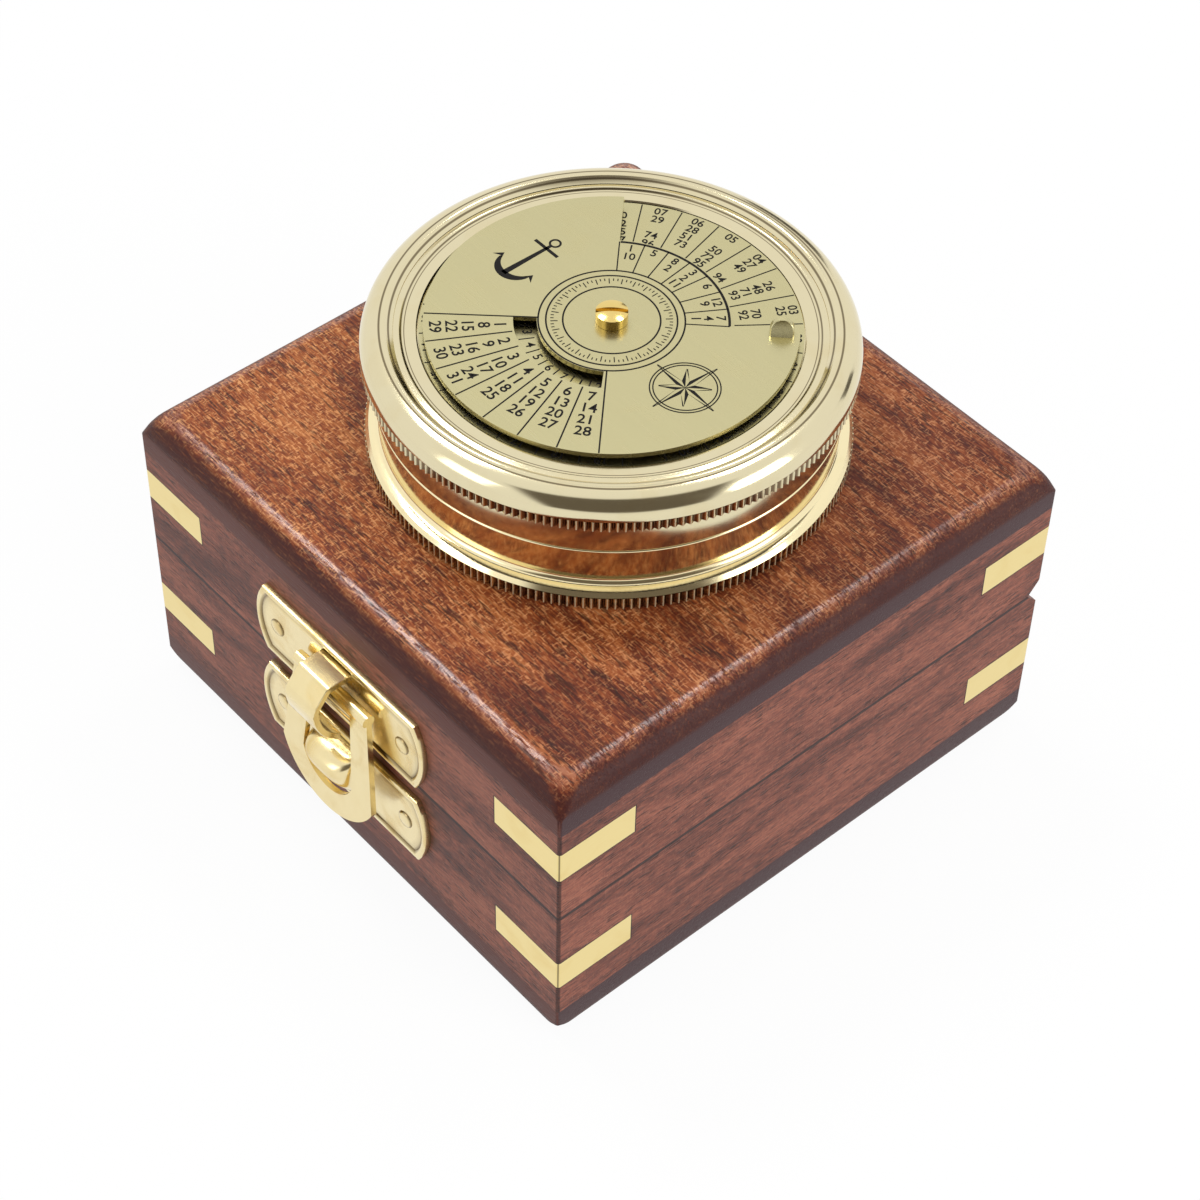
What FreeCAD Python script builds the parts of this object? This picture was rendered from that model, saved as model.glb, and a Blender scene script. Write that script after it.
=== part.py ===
import FreeCAD, Part
import math
import os

from FreeCAD import Vector

# A hundred-year perpetual calendar in a round brass case, standing on its own hinged
# wooden case. Millimetres, +Z up. The origin is the middle of the wooden case's
# underside. The latch is on the front face, -Y, and the hinges are at the back, +Y.

# wooden case
wall_thickness = 9.0
bottom_board_thickness = 7.0
base_wall_height = 23.5
lid_wall_height = 19.2
top_board_thickness = 7.8
top_edge_round = 4.3
bottom_edge_round = 3.5
top_corner_round = 6.5
bottom_corner_round = 6.0
upright_edge_round = 0.6
lid_bevel_depth = 2.8
lid_bevel_height = 3.2
base_bevel_depth = 2.4
base_bevel_height = 2.6

# brass strips let into the corners of the case
inlay_height = 6.0
inlay_length = 14.3
inlay_thickness = 1.0
lid_inlay_rise = 9.0
base_inlay_drop = 11.1

# lining of the case
pocket_clearance = 1.3
nest_height = 21.5
nest_rim = 2.1
nest_fit = 0.1
pocket_pad_thickness = 2.0
pocket_pad_fit = 0.2
lid_pad_thickness = 4.0
lid_pad_fit = 0.3

# two small butt hinges
hinge_length = 20.0
hinge_from_end = 22.0
hinge_inset = 0.8
barrel_radius = 1.6
hinge_pin_radius = 0.6
leaf_thickness = 0.8
leaf_width = 5.8
lid_knuckle_length = 7.6
knuckle_gap = 0.2
pin_running_gap = 0.05
barrel_clearance = 0.3
leaf_screw_spacing = 13.0
leaf_screw_head_radius = 1.3
leaf_screw_radius = 0.7
leaf_screw_length = 5.0

# latch: two stamped plates, a curled strap and a hasp
plate_length = 40.6
plate_corner_inset = 2.0
plate_height = 14.0
plate_thickness = 0.8
plate_rim_width = 1.0
plate_rim_height = 0.3
latch_plate_rise = 0.9
catch_plate_drop = 2.7
nail_spacing = 30.4
nail_radius = 0.6
nail_length = 6.5
nail_head_radius = 1.55
nail_head_height = 0.7
strap_width = 7.0
strap_thickness = 1.1
strap_drop = 1.5
strap_reach = 4.2
strap_turn_radius = 4.0
strap_front_radius = 9.6
strap_front_angle = 58.6
slot_width = 8.2
slot_height = 0.9
hasp_pivot_reach = 2.3
hasp_pivot_drop = 6.0
hasp_side_play = 0.6
hasp_bar_radius = 1.1
hasp_thickness = 1.0
hasp_tilt = 5.5
hasp_shoulder = 0.8
hasp_top_half_width = 8.6
hasp_half_width = 11.0
hasp_straight = 18.5
hasp_length = 25.6
hasp_window_top = 1.6
hasp_window_top_half_width = 4.8
hasp_window_half_width = 6.0
hasp_window_straight = 17.0
hasp_window_length = 21.3
nose_half_width = 4.2
nose_top_drop = 1.5
nose_height = 9.8
nose_reach = 4.2
nose_round = 1.4

# round brass case of the calendar, given from its own underside upwards
calendar_x = -0.8
calendar_y = 3.1
cap_knurl_radius = 37.5
cap_overhang = 1.7
wall_taper = 0.8
flange_step = 0.1
flange_height = 3.2
flange_bevel = 0.3
cup_height = 10.9
cup_rim_bevel = 0.35
cup_fillet = 0.9
cup_floor = 2.0
foot_recess = 0.5
foot_rim_width = 2.5
case_wall = 1.8
spigot_wall = 1.5
spigot_height = 4.2
thread_gap = 0.08
knurl_depth = 0.5
flange_teeth = 200
cap_teeth = 200
cap_knurl_bottom = 16.7
cap_knurl_height = 1.8
cap_roll_radius = 3.6
bezel_lip_height = 21.3
bezel_width = 8.7
bead_inset = 3.7
bead_height = 22.5
inner_bead_inset = 5.9
deck_thickness = 1.5

# discs, pivot and dial
year_disc_thickness = 0.8
year_disc_recess = 0.25
year_disc_gap = 0.15
spacer_radius = 3.6
spacer_height = 0.9
dial_gap = 0.85
dial_thickness = 0.8
dial_play = 0.04
year_window_depth = 10.15
year_window_angle = 90.0
day_slot_inner_radius = 11.1
day_slot_outer_radius = 14.6
day_slot_angle = 86.0
ear_radius = 1.8
ear_inset = 2.75
ear_height = 2.6
ear_thickness = 0.7
pivot_screw_radius = 1.5
pivot_running_gap = 0.05
screw_head_radius = 2.45
screw_head_height = 1.7
screw_dome_height = 0.4
screw_slot_width = 0.8
screw_slot_depth = 0.9
pivot_nut_width = 5.5
pivot_nut_height = 1.8
screw_tail = 0.6

# places that follow from the sizes
flange_radius = cap_knurl_radius - flange_step
cup_rim_radius = cap_knurl_radius - cap_overhang
cup_foot_radius = cup_rim_radius - wall_taper
foot_recess_radius = cup_foot_radius - foot_rim_width
bezel_opening = cap_knurl_radius - bezel_width
bead_radius = cap_knurl_radius - bead_inset
inner_bead_radius = cap_knurl_radius - inner_bead_inset
dial_radius = bezel_opening - dial_gap
year_window_inner_radius = dial_radius - year_window_depth
ear_place_radius = dial_radius - ear_inset
pocket_radius = cap_knurl_radius + pocket_clearance
case_width = 2 * (pocket_radius + nest_rim + nest_fit + wall_thickness)
case_depth = case_width
seam_z = bottom_board_thickness + base_wall_height
lid_board_z = seam_z + lid_wall_height
case_top_z = lid_board_z + top_board_thickness
front_y = -case_depth / 2
back_y = case_depth / 2
inner_half_width = case_width / 2 - wall_thickness
inner_half_depth = case_depth / 2 - wall_thickness
hinge_y = back_y - hinge_inset
leaf_screw_y = hinge_y - barrel_radius - leaf_width / 2
latch_plate_z = seam_z + latch_plate_rise
catch_plate_z = seam_z - catch_plate_drop - plate_height
latch_plate_top = latch_plate_z + plate_height
hasp_pivot_z = latch_plate_top - hasp_pivot_drop
hasp_pivot_y = front_y - hasp_pivot_reach
case_floor_z = bottom_board_thickness
deck_top = bezel_lip_height - year_disc_recess - year_disc_thickness
year_disc_top = deck_top + year_disc_thickness
dial_bottom = year_disc_top + spacer_height + dial_play
dial_top = dial_bottom + dial_thickness
spigot_radius = cup_rim_radius - case_wall - thread_gap
cup_inner_radius = spigot_radius - spigot_wall
pi = math.pi


def box(x0, x1, y0, y1, z0, z1):
    return Part.makeBox(x1 - x0, y1 - y0, z1 - z0, Vector(x0, y0, z0))


def rod(radius, start, end):
    axis = Vector(*end) - Vector(*start)
    return Part.makeCylinder(radius, axis.Length, Vector(*start), axis)


def wire(start, moves, place):
    """A closed wire. A move is a point for a line, or a pair (through, end) for an arc."""
    edges = []
    here = start
    for move in list(moves) + [start]:
        if isinstance(move[0], tuple):
            through, end = move
            edges.append(Part.Arc(place(here), place(through), place(end)).toShape())
        else:
            end = move
            if math.dist(here, end) > 1e-6:
                edges.append(Part.makeLine(place(here), place(end)))
        here = end
    return Part.Wire(edges)


def slab_z(start, moves, z0, z1):
    face = Part.Face(wire(start, moves, lambda p: Vector(p[0], p[1], z0)))
    return face.extrude(Vector(0, 0, z1 - z0))


def slab_x(start, moves, x0, x1):
    """An outline of (y, z) points carried along X."""
    face = Part.Face(wire(start, moves, lambda p: Vector(x0, p[0], p[1])))
    return face.extrude(Vector(x1 - x0, 0, 0))


def slab_y(start, moves, y0, y1):
    """An outline of (x, z) points carried along Y."""
    face = Part.Face(wire(start, moves, lambda p: Vector(p[0], y0, p[1])))
    return face.extrude(Vector(0, y1 - y0, 0))


def turned(start, moves):
    """A solid of revolution about Z from an outline of (radius, z) points."""
    face = Part.Face(wire(start, moves, lambda p: Vector(p[0], 0, p[1])))
    return face.revolve(Vector(0, 0, 0), Vector(0, 0, 1), 360)


def polar(radius, degrees):
    angle = math.radians(degrees)
    return (radius * math.cos(angle), radius * math.sin(angle))


def ring_sector(inner, outer, middle_angle, opening, z0, z1):
    a0 = middle_angle - opening / 2
    a1 = middle_angle + opening / 2
    start = polar(inner, a0)
    moves = [
        polar(outer, a0),
        (polar(outer, middle_angle), polar(outer, a1)),
        polar(inner, a1),
        (polar(inner, middle_angle), start),
    ]
    return slab_z(start, moves, z0, z1)


def knurled_disc(radius, teeth, z0, z1):
    """A disc with straight V teeth all round its edge."""
    points = []
    for i in range(2 * teeth):
        reach = radius if i % 2 == 0 else radius - knurl_depth
        points.append(Vector(*polar(reach, 180.0 * i / teeth), z0))
    points.append(points[0])
    return Part.Face(Part.makePolygon(points)).extrude(Vector(0, 0, z1 - z0))


def joined(shape, *others):
    return shape.fuse(list(others)).removeSplitter()


def group(shapes):
    return Part.makeCompound(shapes)


# The wooden case. Its outside is routed along each edge, so it is the common part of
# prisms: seen from the front, the side and above, and along both diagonals, which
# takes the points off its corners.
def routed_outline(half, rt, rb, back):
    """A view of the closed case from one side, as an outline about the middle plane."""
    top = case_top_z
    st = rt * (1 - math.sqrt(0.5))
    sb = rb * (1 - math.sqrt(0.5))
    start = (-half + rb, 0)
    moves = [(half - rb, 0), ((half - sb, sb), (half, rb))]
    moves += back
    moves += [
        (half, top - rt),
        ((half - st, top - st), (half - rt, top)),
        (-half + rt, top),
        ((-half + st, top - st), (-half, top - rt)),
        (-half, rb),
        ((-half + sb, sb), start),
    ]
    return start, moves


def hinge_groove_outline():
    """The two bevels that leave a V groove along the back of the seam."""
    return [
        (back_y, seam_z - base_bevel_height),
        (back_y - base_bevel_depth, seam_z),
        (back_y - lid_bevel_depth, seam_z),
        (back_y, seam_z + lid_bevel_height),
    ]


def case_envelope():
    hw = case_width / 2
    hd = case_depth / 2
    rt = top_edge_round
    rb = bottom_edge_round
    start, moves = routed_outline(hw, rt, rb, [])
    front_view = slab_y(start, moves, -hd - 1, hd + 1)
    start, moves = routed_outline(hd, rt, rb, hinge_groove_outline())
    side_view = slab_x(start, moves, -hw - 1, hw + 1)
    upright = box(-hw, hw, -hd, hd, -1, case_top_z + 1)
    edges = [e for e in upright.Edges if abs(e.tangentAt(0).z) > 0.9]
    upright = upright.makeFillet(upright_edge_round, edges)
    shape = front_view.common(side_view).common(upright)
    reach = math.hypot(hw, hd) - upright_edge_round * (math.sqrt(2) - 1)
    start, moves = routed_outline(reach, top_corner_round, bottom_corner_round, [])
    for diagonal in (45, -45):
        corner_view = slab_y(start, moves, -reach - 1, reach + 1)
        corner_view.rotate(Vector(0, 0, 0), Vector(0, 0, 1), diagonal)
        shape = shape.common(corner_view)
    return shape


envelope = case_envelope()


def board(z0, z1):
    hw = case_width / 2 + 1
    hd = case_depth / 2 + 1
    return envelope.common(box(-hw, hw, -hd, hd, z0, z1))


def mitred_wall(side, z0, z1):
    """One wall of the frame, cut at 45 degrees where it meets its neighbours."""
    hw = case_width / 2
    hd = case_depth / 2
    iw = inner_half_width
    ih = inner_half_depth
    corners = {
        "front": [(-hw, -hd), (hw, -hd), (iw, -ih), (-iw, -ih)],
        "back": [(hw, hd), (-hw, hd), (-iw, ih), (iw, ih)],
        "left": [(-hw, hd), (-hw, -hd), (-iw, -ih), (-iw, ih)],
        "right": [(hw, -hd), (hw, hd), (iw, ih), (iw, -ih)],
    }[side]
    return envelope.common(slab_z(corners[0], corners[1:], z0, z1))


def corner_inlays(z0):
    """Two strips at each corner, let into the two faces and mitred at the edge."""
    hw = case_width / 2
    hd = case_depth / 2
    t = inlay_thickness
    n = inlay_length
    strips = []
    for sx in (-1, 1):
        for sy in (-1, 1):
            long_x = [(sx * hw, sy * hd), (sx * (hw - n), sy * hd),
                      (sx * (hw - n), sy * (hd - t)), (sx * (hw - t), sy * (hd - t))]
            long_y = [(sx * hw, sy * hd), (sx * hw, sy * (hd - n)),
                      (sx * (hw - t), sy * (hd - n)), (sx * (hw - t), sy * (hd - t))]
            for points in (long_x, long_y):
                strip = slab_z(points[0], points[1:], z0, z0 + inlay_height)
                strips.append(envelope.common(strip))
    return group(strips)


# Hinges: each has a leaf under the lid's back wall, a leaf on the base's back wall and
# a pin. Their leaves lie flush in recesses on the two sides of the seam.
hinge_centres = {"left": hinge_from_end - case_width / 2,
                 "right": case_width / 2 - hinge_from_end}


def barrel(x0, x1, radius):
    return rod(radius, (x0, hinge_y, seam_z), (x1, hinge_y, seam_z))


def hinge_leaf(x, upper):
    """One leaf with its knuckles. The lid's leaf has the middle knuckle."""
    half = hinge_length / 2
    mid = lid_knuckle_length / 2
    z0 = seam_z if upper else seam_z - leaf_thickness
    leaf = box(x - half, x + half, hinge_y - barrel_radius - leaf_width, hinge_y,
               z0, z0 + leaf_thickness)
    spans = {
        True: [(-mid, mid)],
        False: [(-half, -mid - knuckle_gap), (mid + knuckle_gap, half)],
    }
    own = [barrel(x + a, x + b, barrel_radius) for a, b in spans[upper]]
    other = [barrel(x + a - knuckle_gap, x + b + knuckle_gap, barrel_radius + knuckle_gap)
             for a, b in spans[not upper]]
    leaf = leaf.cut(group(other))
    leaf = joined(leaf, *own)
    bore = hinge_pin_radius + (pin_running_gap if upper else 0)
    leaf = leaf.cut(barrel(x - half - 1, x + half + 1, bore))
    return leaf.cut(group(leaf_screws(x, upper)))


def leaf_screws(x, upper):
    """Two countersunk screws through a leaf, heads level with the seam."""
    way = 1 if upper else -1
    screws = []
    for side in (-1, 1):
        foot = Vector(x + side * leaf_screw_spacing / 2, leaf_screw_y, seam_z)
        head = Part.makeCone(leaf_screw_head_radius, leaf_screw_radius,
                             leaf_thickness, foot, Vector(0, 0, way))
        shank = Part.makeCylinder(leaf_screw_radius, leaf_screw_length, foot,
                                  Vector(0, 0, way))
        screws.append(joined(head, shank))
    return screws


def hinge_recess(x, upper):
    """What a hinge takes out of the back wall: its leaf and a trough for its barrel."""
    half = hinge_length / 2
    z0 = seam_z if upper else seam_z - leaf_thickness
    leaf = box(x - half, x + half, hinge_y - barrel_radius - leaf_width, back_y,
               z0, z0 + leaf_thickness)
    gap = barrel_clearance
    trough = barrel(x - half - gap, x + half + gap, barrel_radius + gap)
    return [leaf, trough] + leaf_screws(x, upper)


# The latch on the front face.
def plate_outline(z0):
    """A stamped plate with straight long edges and bowed ends, as (x, z) points."""
    half = plate_length / 2
    corner = half - plate_corner_inset
    z1 = z0 + plate_height
    zm = z0 + plate_height / 2
    return (-corner, z0), [(corner, z0), ((half, zm), (corner, z1)), (-corner, z1),
                           ((-half, zm), (-corner, z0))]


def rim_inside(z0):
    """The flat middle of a plate, inside its coined rim; the rim is open below."""
    half = plate_length / 2 - plate_rim_width
    corner = half - plate_corner_inset
    top = z0 + plate_height - plate_rim_width
    zm = z0 + plate_height / 2
    low = z0 - 1
    return (-corner, low), [(corner, low), (corner, z0), ((half, zm), (corner, top)),
                            (-corner, top), ((-half, zm), (-corner, z0))]


def stamped_plate(z0):
    face_y = front_y - plate_thickness
    rim_y = face_y - plate_rim_height
    plate = slab_y(*plate_outline(z0), rim_y, front_y)
    return plate.cut(slab_y(*rim_inside(z0), rim_y - 1, face_y))


def nails(z):
    """Two round-headed nails through a plate into the wood."""
    seat = front_y - plate_thickness
    made = []
    for side in (-1, 1):
        x = side * nail_spacing / 2
        head = rod(nail_head_radius, (x, seat, z), (x, seat - nail_head_height, z))
        rim = [e for e in head.Edges if abs(e.BoundBox.YMin - (seat - nail_head_height)) < 0.01
               and e.BoundBox.YLength < 0.01]
        head = head.makeFillet(nail_head_height * 0.8, rim)
        made.append(joined(head, rod(nail_radius, (x, seat, z), (x, seat + nail_length, z))))
    return made


def strap():
    """The curl that comes out of the upper plate, over the hasp's bar and back in."""
    top = latch_plate_top - strap_drop
    t = strap_thickness
    ra = strap_turn_radius
    rb = strap_front_radius
    turn_z = top - ra
    near = front_y - strap_reach
    centre_b = front_y - strap_reach - ra + rb
    last = math.radians(strap_front_angle)

    def on_turn(r, degrees):
        a = math.radians(degrees)
        return (near - r * math.cos(a), turn_z + r * math.sin(a))

    def on_front(r, angle):
        return (centre_b - r * math.cos(angle), turn_z - r * math.sin(angle))

    root = front_y - plate_thickness / 2
    start = (root, top)
    moves = [
        (near, top),
        (on_turn(ra, 45), on_turn(ra, 0)),
        (on_front(rb, last / 2), on_front(rb, last)),
        on_front(rb - t, last),
        (on_front(rb - t, last / 2), on_front(rb - t, 0)),
        (on_turn(ra - t, 45), (near, top - t)),
        (root, top - t),
    ]
    return slab_x(start, moves, -strap_width / 2, strap_width / 2)


def latch_plate():
    plate = stamped_plate(latch_plate_z)
    top = latch_plate_top - strap_drop
    slot = box(-slot_width / 2, slot_width / 2, front_y - 2, front_y + 1,
               top, top + slot_height)
    return joined(plate.cut(slot), strap()).cut(group(nails(latch_plate_z + plate_height / 2)))


def catch_nose():
    """The bump that the hasp drops over, pressed out of the lower plate."""
    top = catch_plate_z + plate_height - nose_top_drop
    low = top - nose_height
    root = front_y - plate_thickness / 2
    face = front_y - plate_thickness
    peak = front_y - nose_reach
    ridge = top - nose_height * 0.22
    start = (root, top)
    moves = [(face, top), (peak + nose_round * 0.3, top - 0.3), (peak, ridge),
             ((front_y - nose_reach * 0.72, top - nose_height * 0.66), (face, low)), (root, low)]
    nose = slab_x(start, moves, -nose_half_width, nose_half_width)
    outer = [e for e in nose.Edges if e.BoundBox.YMin < face - 0.5]
    return nose.makeFillet(nose_round * 0.8, [e for e in outer if e.BoundBox.XLength < 0.01])


def catch_plate():
    plate = joined(stamped_plate(catch_plate_z), catch_nose())
    return plate.cut(group(nails(catch_plate_z + plate_height / 2)))


def hasp():
    """A ring of flat sheet that hangs from a round bar inside the strap's curl."""
    z = hasp_pivot_z
    w0 = hasp_top_half_width
    w1 = hasp_half_width
    y0 = hasp_pivot_y - hasp_thickness / 2
    y1 = hasp_pivot_y + hasp_thickness / 2
    side = z - hasp_straight
    sheet = slab_y((-w0, z + hasp_shoulder),
                   [(w0, z + hasp_shoulder), (w1, side),
                    ((0, z - hasp_length), (-w1, side))], y0, y1)
    v0 = hasp_window_top_half_width
    v1 = hasp_window_half_width
    jamb = z - hasp_window_straight
    window = slab_y((-v0, z - hasp_window_top),
                    [(-v1, jamb), ((0, z - hasp_window_length), (v1, jamb)),
                     (v0, z - hasp_window_top)], y0 - 1, y1 + 1)
    bar = rod(hasp_bar_radius, (-w0, hasp_pivot_y, z), (w0, hasp_pivot_y, z))
    ring = joined(sheet.cut(window), bar)
    ring.rotate(Vector(0, hasp_pivot_y, z), Vector(-1, 0, 0), hasp_tilt)
    ring.translate(Vector(hasp_side_play, 0, 0))
    return ring


# The round brass case of the calendar. Everything is turned about Z from its underside.
def case_cup():
    r = flange_radius - knurl_depth
    f = flange_height
    b = flange_bevel
    c = cup_fillet
    w = cup_foot_radius
    rim = cup_rim_radius
    inner = cup_inner_radius
    s = c * (1 - math.sqrt(0.5))
    knurl = knurled_disc(flange_radius, flange_teeth, b, f)
    start = (foot_recess_radius, 0)
    moves = [
        (r - b, 0), (r, b), (r, f), (w + c, f + 0.15),
        ((w + s, f + 0.15 + s), (w, f + 0.15 + c)),
        (rim, cup_height - cup_rim_bevel), (rim - cup_rim_bevel, cup_height),
        (spigot_radius, cup_height), (spigot_radius, cup_height + spigot_height),
        (inner, cup_height + spigot_height), (inner, foot_recess + cup_floor),
        (0, foot_recess + cup_floor), (0, foot_recess), (foot_recess_radius, foot_recess),
    ]
    return joined(turned(start, moves), knurl.cut(Part.makeCylinder(r - 2, 3 * f)))


def case_cap():
    """The upper shell: skirt, knurled ring, rolled edge, beads, lip and inner deck."""
    w = cup_rim_radius
    bore = cup_rim_radius - case_wall
    kr = cap_knurl_radius - knurl_depth
    k0 = cap_knurl_bottom
    k1 = k0 + cap_knurl_height
    roll = cap_roll_radius
    top = k1 + 0.3 + roll
    edge = kr + knurl_depth
    bend = roll * math.sqrt(0.5)
    lip = bezel_lip_height
    under = deck_top - deck_thickness
    knurl = knurled_disc(cap_knurl_radius, cap_teeth, k0, k1)
    start = (w - cup_rim_bevel, cup_height)
    moves = [
        (w, cup_height + cup_rim_bevel), (w, k0), (kr, k0), (kr, k1), (edge, k1 + 0.3),
        ((edge - roll + bend, k1 + 0.3 + bend), (edge - roll + 0.5, top)),
        (bead_radius + 0.6, top - 0.3),
        ((bead_radius, bead_height), (bead_radius - 0.6, top - 0.3)),
        ((bead_radius - 1.1, lip + 0.35), (inner_bead_radius + 0.35, lip + 0.1)),
        ((inner_bead_radius, lip + 0.35), (inner_bead_radius - 0.4, lip)),
        (bezel_opening + 0.2, lip), (bezel_opening, lip - 0.2),
        (bezel_opening, deck_top), (0, deck_top), (0, under),
        (bore - 1.5, under), (bore, under - 1.5), (bore, cup_height),
    ]
    shell = joined(turned(start, moves), knurl.cut(Part.makeCylinder(kr - 2, 2 * k1)))
    return shell.cut(Part.makeCylinder(pivot_screw_radius, 2 * deck_top))


def year_disc():
    disc = Part.makeCylinder(bezel_opening - year_disc_gap, year_disc_thickness,
                             Vector(0, 0, deck_top))
    return disc.cut(Part.makeCylinder(pivot_screw_radius, 2 * deck_top))


def dial_spacer():
    spacer = Part.makeCylinder(spacer_radius, spacer_height, Vector(0, 0, year_disc_top))
    return spacer.cut(Part.makeCylinder(pivot_screw_radius, 2 * deck_top))


def dial_plate():
    """The turning plate: a year window open to the rim, a weekday slot and an ear."""
    z0 = dial_bottom
    z1 = dial_top
    plate = Part.makeCylinder(dial_radius, z1 - z0, Vector(0, 0, z0))
    window = ring_sector(year_window_inner_radius, dial_radius + 2, 90,
                         year_window_angle, z0 - 1, z1 + 1)
    slot = ring_sector(day_slot_inner_radius, day_slot_outer_radius, 270,
                       day_slot_angle, z0 - 1, z1 + 1)
    bore = Part.makeCylinder(pivot_screw_radius + pivot_running_gap, 2 * z1)
    plate = plate.cut(window).cut(slot).cut(bore)
    a = ear_radius
    s = ear_place_radius
    straight = z0 + ear_height + dial_thickness - a
    ear = slab_y((s - a, z0), [(s + a, z0), (s + a, straight),
                               ((s, straight + a), (s - a, straight))],
                 -ear_thickness, 0)
    ear.rotate(Vector(0, 0, 0), Vector(0, 0, 1), 90 - year_window_angle / 2)
    return joined(plate, ear)


def pivot_screw():
    """A slotted screw: its shank is the dial's pivot."""
    low = deck_top - deck_thickness - pivot_nut_height - screw_tail
    seat = dial_top + dial_play
    r = screw_head_radius
    h = screw_head_height
    d = screw_dome_height
    mid = (r * 0.5, seat + h + d * 0.78)
    head = turned((0, seat), [(r, seat), (r, seat + h), (mid, (0, seat + h + d))])
    shank = Part.makeCylinder(pivot_screw_radius, seat - low, Vector(0, 0, low))
    groove = box(-r - 1, r + 1, -screw_slot_width / 2, screw_slot_width / 2,
                 seat + h + d - screw_slot_depth, seat + h + d + 1)
    groove.rotate(Vector(0, 0, 0), Vector(0, 0, 1), 48)
    return joined(head, shank).cut(groove)


def pivot_nut():
    z1 = deck_top - deck_thickness
    reach = pivot_nut_width / math.sqrt(3)
    points = [polar(reach, 60 * i) for i in range(6)]
    nut = slab_z(points[0], points[1:], z1 - pivot_nut_height, z1)
    return nut.cut(Part.makeCylinder(pivot_screw_radius, 2 * z1))


# The lining.
def nest_block():
    hw = inner_half_width - nest_fit
    hd = inner_half_depth - nest_fit
    block = box(-hw, hw, -hd, hd, case_floor_z, case_floor_z + nest_height)
    return block.cut(Part.makeCylinder(pocket_radius, nest_height + 2,
                                       Vector(0, 0, case_floor_z - 1)))


def pocket_pad():
    return Part.makeCylinder(pocket_radius - pocket_pad_fit, pocket_pad_thickness,
                             Vector(0, 0, case_floor_z))


def lid_pad():
    hw = inner_half_width - lid_pad_fit
    hd = inner_half_depth - lid_pad_fit
    return box(-hw, hw, -hd, hd, lid_board_z - lid_pad_thickness, lid_board_z)


def on_lid(shape):
    shape.translate(Vector(calendar_x, calendar_y, case_top_z))
    return shape


def build():
    nodes = {}
    lid_inlays = corner_inlays(seam_z + lid_inlay_rise)
    base_inlays = corner_inlays(seam_z - base_inlay_drop - inlay_height)
    lid_nails = nails(latch_plate_z + plate_height / 2)
    base_nails = nails(catch_plate_z + plate_height / 2)
    for side in ("front", "back", "left", "right"):
        lower = mitred_wall(side, bottom_board_thickness, seam_z).cut(base_inlays)
        upper = mitred_wall(side, seam_z, lid_board_z).cut(lid_inlays)
        if side == "front":
            lower = lower.cut(group(base_nails))
            upper = upper.cut(group(lid_nails))
        if side == "back":
            for x in hinge_centres.values():
                for cutter in hinge_recess(x, False):
                    lower = lower.cut(cutter)
                for cutter in hinge_recess(x, True):
                    upper = upper.cut(cutter)
        nodes["base_%s_wall" % side] = lower
        nodes["lid_%s_wall" % side] = upper
    nodes["base_bottom_board"] = board(0, bottom_board_thickness)
    nodes["lid_top_board"] = board(lid_board_z, case_top_z)
    nodes["base_corner_inlays"] = base_inlays
    nodes["lid_corner_inlays"] = lid_inlays
    nodes["nest_block"] = nest_block()
    nodes["pocket_pad"] = pocket_pad()
    nodes["lid_pad"] = lid_pad()
    for name, x in hinge_centres.items():
        nodes[name + "_hinge_base_leaf"] = hinge_leaf(x, False)
        nodes[name + "_hinge_lid_leaf"] = hinge_leaf(x, True)
        half = hinge_length / 2
        nodes[name + "_hinge_pin"] = barrel(x - half, x + half, hinge_pin_radius)
    nodes["base_hinge_screws"] = group([s for x in hinge_centres.values()
                                        for s in leaf_screws(x, False)])
    nodes["lid_hinge_screws"] = group([s for x in hinge_centres.values()
                                       for s in leaf_screws(x, True)])
    nodes["latch_plate"] = latch_plate()
    nodes["latch_plate_nails"] = group(lid_nails)
    nodes["catch_plate"] = catch_plate()
    nodes["catch_plate_nails"] = group(base_nails)
    nodes["hasp"] = hasp()
    nodes["case_cup"] = on_lid(case_cup())
    nodes["case_cap"] = on_lid(case_cap())
    nodes["year_disc"] = on_lid(year_disc())
    nodes["dial_spacer"] = on_lid(dial_spacer())
    nodes["dial_plate"] = on_lid(dial_plate())
    nodes["pivot_screw"] = on_lid(pivot_screw())
    nodes["pivot_nut"] = on_lid(pivot_nut())
    return nodes


os.makedirs("parts", exist_ok=True)
for node, shape in build().items():
    print("%-24s solids %2d volume %9.1f valid %s" % (
        node, len(shape.Solids), shape.Volume, shape.isValid()))
    shape.exportStep("parts/%s.step" % node)
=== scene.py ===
import math

import bmesh
import bpy
from mathutils import Matrix, Vector


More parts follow.
